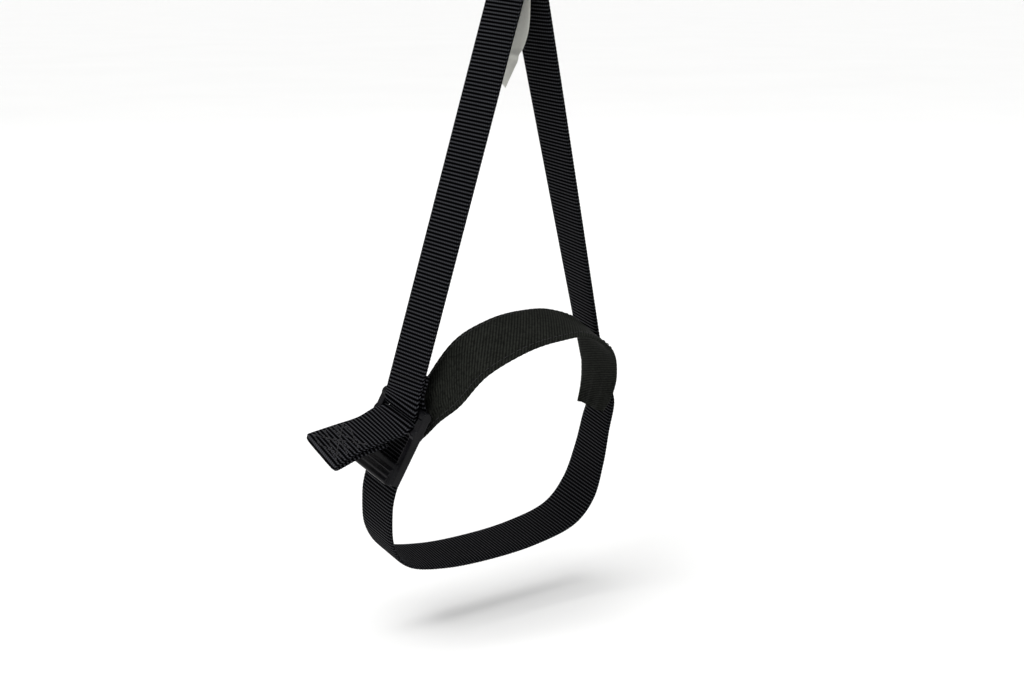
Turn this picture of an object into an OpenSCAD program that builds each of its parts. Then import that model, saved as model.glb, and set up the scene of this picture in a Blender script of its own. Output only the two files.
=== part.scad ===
// Foot-lifting ankle orthosis: a webbing foot loop hung from a calf cuff.
// Axes: -X is the outer (lateral) side, -Y is towards the toes, +Z is up.
// Origin: centre of the cuff's lower opening.

/* [Webbing] */
// Width of the nylon webbing
web_w = 19; // [18:0.5:19.5]
// Thickness of the nylon webbing
web_t = 1.5; // [1.3:0.1:1.6]
// Thickness of the instep band
band_t = 1.8; // [1.4:0.1:2]

/* [Foot loop] */
// Half the distance between the two junctions beside the foot
junction_x = 48; // [47.5:0.5:48.5]
// Height of the risers' meeting point above the junctions
apex_z = 163; // [158:1:166]
// Forward offset of the risers' meeting point
apex_y = -11; // [-12:0.5:-10]
// Height of the ankle axis above the junctions
ankle_z = 24; // [23:0.5:25]

/* [Lift strap] */
// Top of the sewn part where the risers join the elastic
seam_top_z = 184; // [182:1:188]
// Height of the swivel eye's lower bar above the junctions
eye_z = 246; // [244:1:248]

/* [Cuff] */
// Inner radius of the cuff
leg_r = 55; // [54:0.5:55.5]
// Height of the cuff
cuff_h = 80; // [70:1:90]
// Height of the cuff's lower edge above the junctions
cuff_drop = 300; // [299:0.5:301]
// Width of the closure strap
closure_w = 38; // [30:1:40]

/* [Hidden] */
$fn = 64;

black_web = [0.10, 0.10, 0.11];
black_knit = [0.13, 0.14, 0.13];
black_plastic = [0.06, 0.06, 0.07];
off_white = [0.86, 0.86, 0.80];
steel = [0.72, 0.72, 0.74];
padding = [0.20, 0.20, 0.22];

gap = 0.1;
cuff_back = 53;
chain_y = apex_y - cuff_back;
bar_r = 1.75;
loop_r = bar_r + gap;
seam_x = web_t + gap;
half_w = web_w / 2;

lining_t = 1.6;
shell_t = 1.5;
lining_r = leg_r + lining_t;
shell_in = lining_r + gap;
shell_r = shell_in + shell_t;
split_phi = 100;
split_half = 4;

d_ring_r = 12;
d_ring_z = 2;
hook_z = -12;
hook_out = 9;
hook_in = 4.6;
hook_t = 5;

pitch_y = apex_y * ankle_z / apex_z;
pivot_cut = 12;
pivot_fit = 11.6;
stretch_top_z = 222;

buckle_top = [-43.5, -1.5, 8.5];
buckle_tilt = 14;
buckle_flare = 22;
buckle_half_w = half_w + 1.7;
buckle_len = 27;
lock_bar_v = -7.1;
lip_bar_v = -21;

// --- Helpers -------------------------------------------------------------

function unit(v) = v / norm(v);

// Point at s between b and c on a smooth curve through a, b, c and d
function curve_at(a, b, c, d, s) =
    0.5 * (2 * b + (c - a) * s + (2 * a - 5 * b + 4 * c - d) * s * s
        + (3 * b - a - 3 * c + d) * s * s * s);

// Smooth curve through the points p with n steps between neighbours
function smooth(p, n = 4) =
    let (last = len(p) - 1, q = concat([2 * p[0] - p[1]], p, [2 * p[last] - p[last - 1]]))
    concat([for (i = [1 : last], k = [0 : n - 1])
        curve_at(q[i - 1], q[i], q[i + 1], q[i + 2], k / n)], [p[last]]);

// Width direction of a strap that runs along a: fore and aft, turned by twist radians
function width_dir(a, twist) =
    let (w = unit([0, -1, 0] + a * a[1]), n = cross(a, w), deg = twist * 180 / PI)
    w * cos(deg) + n * sin(deg);

// Flat strap of thickness t between a front edge and a rear edge
module ribbon(front, rear, t) {
    last = len(front) - 1;
    mid = (front + rear) / 2;
    function along(i) = unit(mid[min(i + 1, last)] - mid[max(i - 1, 0)]);
    function face(i) = unit(cross(along(i), front[i] - rear[i])) * t / 2;
    pts = [for (i = [0 : last])
        each [front[i] + face(i), rear[i] + face(i), rear[i] - face(i), front[i] - face(i)]];
    sides = [for (i = [0 : last - 1], j = [0 : 3])
        let (a = 4 * i + j, b = 4 * i + (j + 1) % 4)
        each [[a, b + 4, b], [a, a + 4, b + 4]]];
    end = 4 * last;
    caps = [[0, 1, 2], [0, 2, 3], [end, end + 2, end + 1], [end, end + 3, end + 2]];
    polyhedron(points = pts, faces = concat(sides, caps), convexity = 8);
}

// Ring sector between radii r1 and r2, angles from the front towards the outer side
module ring_band(r1, r2, z1, z2, phi1, phi2) {
    rotate([0, 0, 270 - phi2])
        rotate_extrude(angle = phi2 - phi1, $fn = 128)
            translate([r1, z1])
                square([r2 - r1, z2 - z1]);
}

// Places children from the junction frame into the part's frame
module at_junction() {
    translate([0, -cuff_back, -cuff_drop])
        children();
}

// Places children in the buckle's frame: Y along its bars, Z up its rails
module at_buckle() {
    at_junction()
        translate(buckle_top)
            rotate([buckle_tilt, 0, 0])
                rotate([0, buckle_flare, 0])
                    children();
}

// Bar along Y
module bar_y(r, length) {
    rotate([90, 0, 0])
        cylinder(r = r, h = length, center = true);
}

// Bar along X
module bar_x(r, length) {
    rotate([0, 90, 0])
        cylinder(r = r, h = length, center = true);
}

// --- Calf cuff -----------------------------------------------------------

cuff_phi1 = split_phi + split_half;
cuff_phi2 = split_phi - split_half + 360;

module cuff_lining() {
    color(padding)
        ring_band(leg_r, lining_r, 0, cuff_h, cuff_phi1, cuff_phi2);
}

module cuff_shell() {
    color(black_knit)
        ring_band(shell_in, shell_r, 0, cuff_h, cuff_phi1, cuff_phi2);
}

// Folded edge tape round both layers
module binding(z, up) {
    color(black_web)
        translate([0, 0, z])
            mirror([0, 0, up ? 0 : 1])
                difference() {
                    ring_band(leg_r - 0.7, shell_r + 0.8, -1, 7, cuff_phi1, cuff_phi2);
                    ring_band(leg_r - gap / 2, shell_r + gap / 2, 0, 8, cuff_phi1 - 1, cuff_phi2 + 1);
                }
}

module cuff_binding_bottom() {
    binding(0, true);
}

module cuff_binding_top() {
    binding(cuff_h, false);
}

// Webbing sewn to the cuff's front and looped round the D-ring's straight bar
module anchor_tab() {
    outer = loop_r + web_t;
    front_y = -shell_r - 2 * web_t - 0.2;
    back_y = -shell_r - 0.2;
    color(black_web)
        translate([-half_w, chain_y, d_ring_z])
            rotate([90, 0, 90])
                linear_extrude(web_w)
                    difference() {
                        union() {
                            circle(r = outer);
                            polygon([[0.98 * -outer, -0.3], [front_y - chain_y, 12], [front_y - chain_y, 46],
                                [back_y - chain_y, 46], [back_y - chain_y, 10], [0.98 * outer, -0.3]]);
                        }
                        circle(r = loop_r);
                        polygon([[0.95 * -loop_r, -0.2], [back_y - web_t - chain_y, 9], [0.95 * loop_r, -0.2]]);
                    }
}

// Closure hardware: the ring stands on the outer side, ahead of the cuff's split
ring_phi = 76;
ring_r = shell_r + web_t + loop_r + 0.4;
ring_half = 6;
closure_mid_z = cuff_h / 2;

// Places children at the ring's bar on the near or far side of ring_phi
module at_ring_bar(side) {
    rotate([0, 0, -ring_phi])
        translate([side * -ring_half, -ring_r, closure_mid_z])
            children();
}

module closure_ring() {
    half_z = closure_w / 2 + bar_r + 0.5;
    color(steel) {
        for (side = [-1, 1]) {
            at_ring_bar(side)
                cylinder(r = bar_r, h = 2 * half_z, center = true);
            rotate([0, 0, -ring_phi])
                translate([0, -ring_r, closure_mid_z + side * half_z])
                    bar_x(bar_r, 2 * ring_half);
            for (end = [-1, 1])
                at_ring_bar(side)
                    translate([0, 0, end * half_z])
                        sphere(r = bar_r);
        }
    }
}

// Unit vectors at the ring: outwards from the leg, and round the cuff towards the back
outwards = [-sin(ring_phi), -cos(ring_phi)];
round_back = [-cos(ring_phi), sin(ring_phi)];
wrap_r = loop_r + web_t / 2;

// Turn round one of the ring's bars, from its inner to its outer side
function bar_wrap(side) =
    [for (a = [10 : 16 : 202]) outwards * (ring_r - wrap_r * cos(a))
        + round_back * side * (ring_half - wrap_r * sin(a))];

// Points round the cuff at the angles phis
function cuff_line(phis, r) = [for (phi = phis) [-sin(phi), -cos(phi)] * r];

// Tape on edge that follows a plan outline at mid height
module cuff_tape(plan, width, t) {
    low = closure_mid_z - width / 2;
    ribbon([for (q = plan) [q[0], q[1], low]], [for (q = plan) [q[0], q[1], low + width]], t);
}

strap_in = shell_r + 0.2;
strap_mid = strap_in + web_t / 2;

// Short tape that holds the ring to the cuff
module chafe_tab() {
    color(black_web)
        cuff_tape(concat(cuff_line([34 : 4 : 66], strap_mid), bar_wrap(-1),
            [for (phi = [61 : -3 : 43])
                [-sin(phi), -cos(phi)] * (strap_mid + web_t + gap + (phi - 43) * 0.04)]),
            closure_w, web_t);
}

tape_t = 0.7;
tail_mid = strap_in + web_t + 2 * (tape_t + gap) + web_t / 2;
settle_phi = 110;
peel_phi = 96;

// Radius of the strap's outer ply, which settles from the ring on to the tapes
function tail_r(phi) = tail_mid + (ring_r + wrap_r - tail_mid) * pow(max(0, (settle_phi - phi) / 28), 2);

function tail_line(phis) = [for (phi = phis) [-sin(phi), -cos(phi)] * tail_r(phi)];

// Main ply from the back of the cuff, across the split, round the ring and back
module closure_strap() {
    color(black_web)
        cuff_tape(concat(cuff_line([196 : -6 : 86], strap_mid), bar_wrap(1), tail_line([84.7 : 2.2 : 95.7])),
            closure_w, web_t);
}

// Hook tape on the main ply, under the tail
module hook_patch() {
    hook_in_r = strap_in + web_t + gap;
    color(black_knit)
        ring_band(hook_in_r, hook_in_r + tape_t - gap, closure_mid_z - closure_w / 2 + 2,
            closure_mid_z + closure_w / 2 - 2, 112, 150);
}

// Free end that presses down on the hook tape and peels off
module closure_tail() {
    color(black_web)
        cuff_tape(tail_line([peel_phi + 0.3 : 3.98 : 152.1]), closure_w, web_t);
}

// Loop tape on the tail's inner face
module loop_patch() {
    loop_out_r = tail_mid - web_t / 2 - gap / 2;
    color(black_knit)
        ring_band(loop_out_r - tape_t + gap, loop_out_r, closure_mid_z - closure_w / 2 + 2,
            closure_mid_z + closure_w / 2 - 2, 114, 150);
}

// --- Hardware between cuff and strap ---------------------------------------

module d_ring() {
    color(steel)
        translate([0, chain_y, 0]) {
            rotate([90, 0, 0])
                rotate([0, 0, 180])
                    rotate_extrude(angle = 180)
                        translate([d_ring_r, 0])
                            circle(r = bar_r, $fn = 32);
            translate([0, 0, d_ring_z])
                bar_x(bar_r, 2 * d_ring_r);
            for (side = [-1, 1]) {
                translate([side * d_ring_r, 0, 0])
                    cylinder(r = bar_r, h = d_ring_z);
                translate([side * d_ring_r, 0, d_ring_z])
                    sphere(r = bar_r);
            }
        }
}

gate_z = hook_z - 12;
gate_y = chain_y - 6.8;
nose_z = hook_z - 2.2;
head_z = -30;
window_z = -30.5;
collar_bottom = -38;

// Cast hook with a mouth towards the front and a collar for the swivel
module snap_hook() {
    color(steel)
        difference() {
            union() {
                translate([-hook_t / 2, 0, 0])
                    rotate([90, 0, 90])
                        linear_extrude(hook_t)
                            difference() {
                                union() {
                                    translate([chain_y, hook_z])
                                        circle(r = hook_out);
                                    polygon([[chain_y - hook_out, hook_z], [chain_y - hook_out, gate_z - 2],
                                        [chain_y - 5.2, -34], [chain_y + 5.2, -34],
                                        [chain_y + hook_out, gate_z - 2], [chain_y + hook_out, hook_z]]);
                                }
                                translate([chain_y, hook_z])
                                    circle(r = hook_in);
                                translate([chain_y - hook_in, gate_z])
                                    square([2 * hook_in, hook_z - gate_z]);
                                translate([chain_y - hook_out - 1, gate_z])
                                    square([hook_out, nose_z - gate_z]);
                            }
                translate([0, chain_y, collar_bottom])
                    cylinder(r = 5.5, h = 7);
            }
            translate([0, chain_y, collar_bottom - 1])
                cylinder(r = 2.2, h = 9);
            translate([-hook_t, chain_y - 4, window_z])
                cube([2 * hook_t, 8, 4]);
            translate([-1.6, gate_y - 3.2, gate_z - 4.6])
                cube([3.2, 5.6, 6]);
            translate([0, gate_y, gate_z - 2])
                bar_x(1, hook_t + 2);
        }
}

// Sprung gate that closes the mouth
module hook_gate() {
    color(steel)
        difference() {
            union() {
                translate([0, gate_y, gate_z - 2])
                    bar_x(2, 2.6);
                translate([-1.3, gate_y - 1.1, gate_z - 2])
                    cube([2.6, 2.2, nose_z - gate_z + 1.6]);
            }
            translate([0, gate_y, gate_z - 2])
                bar_x(1.05, 4);
        }
}

module gate_pin() {
    color(steel)
        translate([0, gate_y, gate_z - 2])
            bar_x(0.98, hook_t);
}

eye_local_z = eye_z - cuff_drop;
eye_half = half_w + 0.35 + bar_r;

// Swivel: a headed pin on a rectangular eye
module swivel_eye() {
    color(steel)
        translate([0, chain_y, 0]) {
            translate([0, 0, head_z])
                cylinder(r = 3.3, h = 1.8);
            translate([0, 0, eye_local_z + 12])
                cylinder(r = 2.1, h = head_z - eye_local_z - 11);
            translate([0, 0, eye_local_z + 11.5])
                cylinder(r = 4.2, h = 3.6);
            for (z = [eye_local_z, eye_local_z + 12])
                translate([0, 0, z])
                    bar_y(bar_r, 2 * eye_half);
            for (side = [-1, 1]) {
                translate([0, side * eye_half, eye_local_z])
                    cylinder(r = bar_r, h = 12);
                for (z = [eye_local_z, eye_local_z + 12])
                    translate([0, side * eye_half, z])
                        sphere(r = bar_r);
            }
        }
}

// --- Lift strap ------------------------------------------------------------

// Sewn loop of the elastic round the eye's lower bar
module lift_loop() {
    outer = loop_r + web_t;
    flat = web_t + gap;
    drop = eye_z - stretch_top_z;
    color(black_knit)
        translate([0, chain_y + half_w, eye_z - cuff_drop])
            rotate([90, 0, 0])
                linear_extrude(web_w)
                    difference() {
                        union() {
                            circle(r = outer);
                            polygon([[0.98 * -outer, 0.3], [-flat, -12], [-flat, -drop],
                                [flat, -drop], [flat, -12], [0.98 * outer, 0.3]]);
                        }
                        circle(r = loop_r);
                        polygon([[0.95 * -loop_r, 0.2], [0, -7.5], [0.95 * loop_r, 0.2]]);
                    }
}

// Elastic between the sewn seam and the sewn loop
module lift_elastic() {
    bottom = apex_z + 3;
    color(black_knit)
        translate([-web_t / 2, chain_y - half_w, bottom - cuff_drop])
            cube([web_t, web_w, stretch_top_z - 0.3 - bottom]);
}

// --- Risers ----------------------------------------------------------------

function riser_point(side, s) =
    [side * (junction_x - (junction_x - seam_x) * s), apex_y * s, apex_z * s];

function riser_twist(side, s) = side < 0 ? 0.05 + 0.02 * s : -0.28 + 0.34 * s;

function riser_width(side, s) =
    width_dir(unit(riser_point(side, 1) - riser_point(side, 0)), riser_twist(side, s)) * half_w;

// Points of one riser edge between two fractions of its length
function riser_edge(side, s1, s2, edge) =
    [for (i = [0 : 8]) let (s = s1 + (s2 - s1) * i / 8) riser_point(side, s) + edge * riser_width(side, s)];

// Edge of the part that stands upright in the apex seam
function seam_edge(side, edge) =
    [for (z = [apex_z + 3, seam_top_z]) [side * seam_x, apex_y - edge * half_w, z]];

module pivot_disc(r) {
    translate([0, pitch_y, ankle_z])
        bar_x(r, 120);
}

module riser(side) {
    color(black_web)
        at_junction()
            difference() {
                ribbon(concat(riser_edge(side, 0.16, 0.985, 1), seam_edge(side, 1)),
                    concat(riser_edge(side, 0.16, 0.985, -1), seam_edge(side, -1)), web_t);
                pivot_disc(pivot_cut);
            }
}

module lateral_riser() {
    riser(-1);
}

module medial_riser() {
    riser(1);
}

// Blank sewn-in label that hangs from the apex seam
module care_label() {
    front = [[0, -18, 164.5], [0, -17.5, 150], [0, -16, 138], [0, -11, 128.5], [0, -4, 117.5]];
    rear = [[0, -3, 164.5], [0, -2.5, 150], [0, -1.5, 141], [0, 3, 134], [0, 9.5, 124]];
    color(off_white)
        at_junction()
            ribbon(smooth(front), smooth(rear), 0.5);
}

// --- Foot loop ---------------------------------------------------------------

// Lower end of the lateral riser, looped round the buckle's top bar
module lateral_riser_end() {
    s_low = 0.075;
    color(black_web) {
        at_junction()
            intersection() {
                ribbon(riser_edge(-1, s_low, 0.24, 1), riser_edge(-1, s_low, 0.24, -1), web_t);
                union() {
                    pivot_disc(pivot_fit);
                    translate([-60, -20, 0])
                        cube([40, 40, ankle_z]);
                }
            }
        at_buckle()
            difference() {
                bar_y(loop_r + web_t, web_w);
                bar_y(loop_r, web_w + 1);
            }
    }
}

module medial_riser_end() {
    color(black_web)
        at_junction()
            intersection() {
                ribbon(riser_edge(1, -0.012, 0.24, 1), riser_edge(1, -0.012, 0.24, -1), web_t);
                union() {
                    pivot_disc(pivot_fit);
                    translate([20, -20, -20])
                        cube([40, 40, ankle_z + 20]);
                }
            }
}

// Ladder lock: two rails, a top bar, a locking bar and a lip
module ladder_lock() {
    rail_w = 2.6;
    rail_t = 4;
    color(black_plastic)
        at_buckle() {
            for (side = [-1, 1]) {
                translate([-rail_t / 2, side * buckle_half_w - rail_w / 2, -buckle_len])
                    cube([rail_t, rail_w, buckle_len]);
                translate([0, side * buckle_half_w, 0])
                    bar_y(rail_t / 2, rail_w);
            }
            bar_y(bar_r, 2 * buckle_half_w);
            translate([0, 0, lock_bar_v])
                bar_y(bar_r, 2 * buckle_half_w);
            translate([-rail_t / 2, -buckle_half_w, -buckle_len])
                cube([2.6, 2 * buckle_half_w, buckle_len + lip_bar_v + 2]);
            translate([-rail_t / 2 - 1.2, 0, -buckle_len + 1.6])
                bar_y(1.6, 2 * buckle_half_w - 2);
        }
}

stirrup_mid = [[-43.86, 0.3, 1.2], [-47.9, 3.5, -11.8], [-50.1, 5.7, -20.3], [-50.2, 7.8, -29],
    [-47.5, 10.5, -42], [-39, 12.5, -51.5], [-21, 14, -56], [0, 14, -57], [21, 14, -56], [39, 12.5, -51.5],
    [47.8, 10.5, -42], [50.8, 7.5, -28], [51.2, 4, -14], [50.56, -0.24, -2.83], [48.47, -0.73, 4.51], [46.38, -1.23, 11.84]];

// Half the width of the stirrup, front edge lower; it turns to lie flat on the medial riser at its end
function stirrup_half(i) =
    let (turn = min(1, max(0, i - 10) / 3))
    half_w * unit([-0.245 * turn, -0.96, -0.24 + 0.11 * turn]);

// Adjustable strap: from the lock bar, under the arch to the medial riser
module stirrup_strap() {
    front = [for (i = [0 : len(stirrup_mid) - 1]) stirrup_mid[i] + stirrup_half(i)];
    rear = [for (i = [0 : len(stirrup_mid) - 1]) stirrup_mid[i] - stirrup_half(i)];
    color(black_web) {
        at_junction()
            ribbon(smooth(front), smooth(rear), web_t);
        at_buckle()
            translate([0, 0, lock_bar_v])
                difference() {
                    bar_y(loop_r + web_t, web_w);
                    bar_y(loop_r, web_w + 1);
                    translate([-6, -15, -6])
                        cube([6, 30, 6]);
                    translate([-6, -15, -6])
                        cube([12, 30, 5]);
                }
    }
}

band_front = [[-40.5, -3, -6], [-40, -13, 2.5], [-36.5, -24, 11.5], [-29, -30, 22], [-15, -32, 28],
    [0, -33, 31], [15, -31, 30], [30, -28, 22], [37.5, -22, 11], [41.5, -15.5, 1], [42.8, -9.6, -6]];
band_rear = [[-37.6, 7, -6], [-37.6, 3, 6], [-35.5, -3, 18], [-28, -9.5, 31], [-15, -12, 37], [0, -11.4, 38],
    [15, -9.5, 37], [29, -8, 31], [37, -2.5, 19], [42.4, 3.5, 7], [45.6, 8.5, -5]];

// Band over the instep, sewn to both riser ends
module instep_band() {
    color(black_knit)
        at_junction()
            ribbon(smooth(band_front), smooth(band_rear), band_t);
}

tab_front = [[-50.1, -9, -0.3], [-57, -7.5, -1.8], [-65, -5, -4.2], [-72.5, -2, -8.5]];
tab_rear = [[-50.1, 9.4, 6.3], [-56.5, 10.4, 3.6], [-64.5, 13, 1.6], [-72.5, 16, -0.4]];

// Free end of the adjustable strap
module pull_tab() {
    color(black_web)
        at_junction()
            ribbon(smooth(tab_front), smooth(tab_rear), web_t);
}

// Second ply of the tab's folded end
module tab_fold() {
    shift = [0.9, 0, -web_t - 0.15];
    front = [for (p = smooth([tab_front[1], tab_front[2], tab_front[3]])) p + shift];
    rear = [for (p = smooth([tab_rear[1], tab_rear[2], tab_rear[3]])) p + shift];
    color(black_web)
        at_junction()
            ribbon(front, rear, web_t);
}

cuff_lining();
cuff_shell();
cuff_binding_bottom();
cuff_binding_top();
anchor_tab();
chafe_tab();
closure_ring();
closure_strap();
hook_patch();
closure_tail();
loop_patch();
d_ring();
snap_hook();
hook_gate();
gate_pin();
swivel_eye();
lift_loop();
lift_elastic();
lateral_riser();
medial_riser();
care_label();
lateral_riser_end();
medial_riser_end();
ladder_lock();
stirrup_strap();
instep_band();
pull_tab();
tab_fold();
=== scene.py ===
import math

import bpy
import numpy as np
from mathutils import Matrix, Vector


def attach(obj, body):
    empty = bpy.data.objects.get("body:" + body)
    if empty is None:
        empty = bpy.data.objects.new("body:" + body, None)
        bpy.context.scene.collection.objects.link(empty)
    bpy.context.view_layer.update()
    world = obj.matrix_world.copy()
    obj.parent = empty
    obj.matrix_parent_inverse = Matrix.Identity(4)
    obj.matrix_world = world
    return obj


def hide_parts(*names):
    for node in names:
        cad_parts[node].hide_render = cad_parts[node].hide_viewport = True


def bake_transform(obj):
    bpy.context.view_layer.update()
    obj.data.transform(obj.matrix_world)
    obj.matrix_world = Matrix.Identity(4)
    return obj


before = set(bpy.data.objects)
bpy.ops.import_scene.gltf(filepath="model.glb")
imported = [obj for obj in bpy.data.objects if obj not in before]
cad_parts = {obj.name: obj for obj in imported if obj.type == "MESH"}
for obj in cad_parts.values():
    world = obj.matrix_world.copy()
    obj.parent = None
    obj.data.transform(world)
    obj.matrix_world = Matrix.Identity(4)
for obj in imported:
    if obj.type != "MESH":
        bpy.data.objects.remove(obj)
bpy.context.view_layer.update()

# ---------------------------------------------------------------- sizes, in millimetres

WEB_W = 19.0
WEB_T = 1.5
BAND_T = 1.8
RIB_PITCH = 1.33
STEP = RIB_PITCH / 6
ELASTIC_PITCH = 0.7
SEW_HALF = 7.2
JUNCTION_X = 48.0
APEX_Y = -11.0
APEX_Z = 163.0
SEAM_TOP_Z = 184.0
SEAM_X = WEB_T + 0.1
EYE_Z = 246.0
CUFF_BACK = 53.0
CUFF_DROP = 300.0
CUFF_H = 80.0
SHELL_R = 58.2
CUFF_OUTER_R = 57.35
CUFF_INNER_R = 55.15
STITCH_R = 57.45
BINDING_FACE_R = 59.02
BINDING_STITCH_Z = 5.4
BINDING_PITCH = 0.8
BAR_R = 1.75
WRAP_R = BAR_R + 0.1 + WEB_T / 2
BUCKLE_TOP = np.array([-43.5, -1.5, 8.5])
BUCKLE_TILT = math.radians(14)
BUCKLE_FLARE = math.radians(22)
BUCKLE_LEN = 27.0
LOCK_BAR_V = -6.85
LIP_BAR_V = -21.0
D_RING_Z = 2.0
RING_PHI = math.radians(76)
RING_R = SHELL_R + WEB_T + BAR_R + 0.5
RING_HALF = 6.0
CLOSURE_W = 38.0
CLOSURE_SEW = 16.5
SPLIT_PHI = math.radians(100)
SPLIT_HALF = math.radians(4)
STRAP_MID = SHELL_R + 0.2 + WEB_T / 2
TAIL_MID = STRAP_MID + WEB_T + 1.6


def vec(*v):
    return np.array(v, float)


def place(p):
    """Junction-frame millimetres to the part's frame in metres."""
    return (np.asarray(p, float) - vec(0, CUFF_BACK, CUFF_DROP)) / 1000


def unit(v):
    v = np.asarray(v, float)
    return v / np.linalg.norm(v, axis=-1, keepdims=True)


# ---------------------------------------------------------------- materials


def base_material(name, color, roughness, specular, metallic=0.0):
    m = bpy.data.materials.new(name)
    m.use_nodes = True
    shader = m.node_tree.nodes["Principled BSDF"]
    shader.inputs["Base Color"].default_value = (*color, 1)
    shader.inputs["Roughness"].default_value = roughness
    shader.inputs["Specular IOR Level"].default_value = specular
    shader.inputs["Metallic"].default_value = metallic
    return m, shader


class Graph:
    """Small helper that adds nodes to a material."""

    def __init__(self, material, shader):
        self.tree = material.node_tree
        self.shader = shader

    def node(self, kind, **settings):
        n = self.tree.nodes.new(kind)
        for key, value in settings.items():
            setattr(n, key, value)
        return n

    def link(self, a, b):
        self.tree.links.new(a, b)

    def feed(self, socket, value):
        if isinstance(value, (int, float)):
            socket.default_value = value
        else:
            self.link(value, socket)

    def math(self, operation, a, b=0.0):
        n = self.node("ShaderNodeMath", operation=operation)
        self.feed(n.inputs[0], a)
        self.feed(n.inputs[1], b)
        return n.outputs[0]

    def attribute(self, name):
        a = self.node("ShaderNodeAttribute", attribute_name=name)
        s = self.node("ShaderNodeSeparateXYZ")
        self.link(a.outputs["Vector"], s.inputs[0])
        return a.outputs["Vector"], s.outputs[0], s.outputs[1]

    def position(self):
        return self.node("ShaderNodeTexCoord").outputs["Object"]

    def noise(self, vector, scale, detail=3.0, roughness=0.6):
        n = self.node("ShaderNodeTexNoise")
        self.link(vector, n.inputs["Vector"])
        n.inputs["Scale"].default_value = scale
        n.inputs["Detail"].default_value = detail
        n.inputs["Roughness"].default_value = roughness
        return n.outputs["Fac"]

    def wave(self, value, pitch):
        """Cosine of value with the given pitch, from 0 to 1."""
        turned = self.math("COSINE", self.math("MULTIPLY", value, 2 * math.pi / pitch))
        return self.math("ADD", self.math("MULTIPLY", turned, 0.5), 0.5)

    def ramp(self, factor, dark, light, low=0.0, high=1.0):
        n = self.node("ShaderNodeValToRGB")
        self.link(factor, n.inputs[0])
        n.color_ramp.elements[0].position = low
        n.color_ramp.elements[0].color = (*dark, 1)
        n.color_ramp.elements[1].position = high
        n.color_ramp.elements[1].color = (*light, 1)
        return n.outputs[0]

    def span(self, factor, low, high):
        n = self.node("ShaderNodeMapRange")
        self.link(factor, n.inputs["Value"])
        n.inputs["To Min"].default_value = low
        n.inputs["To Max"].default_value = high
        return n.outputs["Result"]

    def bump(self, height, strength, distance):
        n = self.node("ShaderNodeBump")
        n.inputs["Strength"].default_value = strength
        n.inputs["Distance"].default_value = distance
        self.link(height, n.inputs["Height"])
        self.link(n.outputs[0], self.shader.inputs["Normal"])


def webbing_material(name, dark, light, pitch=RIB_PITCH, end_pitch=0.95):
    """Ribbed nylon: cross ribs, each a row of small warp floats, with loose-fibre variation; each rib's
    crest is painted light and its groove painted dark, a painted highlight and painted shade.
    """
    m, shader = base_material(name, light, 0.6, 0.03)
    g = Graph(m, shader)
    where, s, v = g.attribute("web_mm")
    rib = g.wave(s, pitch)
    row = g.math("ROUND", g.math("DIVIDE", s, pitch))
    shift = g.math("MULTIPLY", row, end_pitch / 2)
    ends = g.wave(g.math("ADD", v, shift), end_pitch)
    fuzz = g.noise(where, 1.7, 4.0, 0.7)
    # narrow light rib crests and dark grooves are painted highlight and painted shade, multiplied by the
    # real warp-end dots
    weave = g.math("MULTIPLY", g.math("POWER", rib, 2.4), g.span(ends, 0.35, 1.1))
    tone = g.math("MULTIPLY", weave, g.span(fuzz, 0.25, 1.75))
    g.link(g.ramp(tone, dark, light), shader.inputs["Base Color"])
    g.link(g.span(weave, 0.0, 0.05), shader.inputs["Specular IOR Level"])
    g.link(g.span(fuzz, 0.48, 0.74), shader.inputs["Roughness"])
    g.bump(weave, 0.5, 0.0002)
    return m


def twill_material(name, dark, light, pitch=1.35, strength=0.6):
    """Fine diagonal twill or knit."""
    m, shader = base_material(name, light, 0.78, 0.03)
    g = Graph(m, shader)
    where, s, v = g.attribute("web_mm")
    diagonal = g.wave(g.math("ADD", s, g.math("MULTIPLY", v, 0.8)), pitch)
    yarn = g.wave(g.math("SUBTRACT", s, g.math("MULTIPLY", v, 1.9)), pitch * 0.8)
    fuzz = g.noise(where, 0.8, 5.0, 0.7)
    patch = g.noise(where, 0.12, 3.0, 0.6)
    weave = g.math("MULTIPLY", diagonal, g.span(yarn, 0.6, 1.0))
    grain = g.math("MULTIPLY", g.span(weave, 0.2, 1.15), g.span(fuzz, -1.2, 3.2))
    tone = g.math("MULTIPLY", grain, g.span(patch, 0.4, 1.6))
    g.link(g.ramp(tone, dark, light), shader.inputs["Base Color"])
    g.link(g.span(fuzz, 0.68, 0.9), shader.inputs["Roughness"])
    g.bump(weave, strength, 0.00014)
    return m


def cuff_material(name, dark, light, cell):
    """Spacer mesh: a staggered net of small cells."""
    m, shader = base_material(name, light, 0.8, 0.06)
    g = Graph(m, shader)
    where, s, v = g.attribute("web_mm")
    n = g.node("ShaderNodeTexVoronoi", feature="DISTANCE_TO_EDGE")
    g.link(where, n.inputs["Vector"])
    n.inputs["Scale"].default_value = 1 / cell
    n.inputs["Randomness"].default_value = 0.25
    net = g.ramp(n.outputs["Distance"], (1, 1, 1), (0, 0, 0), 0.08, 0.3)
    fuzz = g.noise(where, 1.1, 4.0, 0.7)
    tone = g.math("MULTIPLY", g.span(net, 0.35, 1.0), g.span(fuzz, 0.6, 1.3))
    g.link(g.ramp(tone, dark, light), shader.inputs["Base Color"])
    g.link(g.span(fuzz, 0.7, 0.92), shader.inputs["Roughness"])
    g.bump(net, 0.6, 0.0003)
    return m


def thread_material(name, color):
    m, shader = base_material(name, color, 0.5, 0.08)
    g = Graph(m, shader)
    grain = g.noise(g.position(), 5200, 2.0)
    lighter = tuple(min(1.0, c * 1.9 + 0.01) for c in color)
    g.link(g.ramp(grain, color, lighter, 0.3, 0.7), shader.inputs["Base Color"])
    g.bump(grain, 0.3, 0.0001)
    return m


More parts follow.
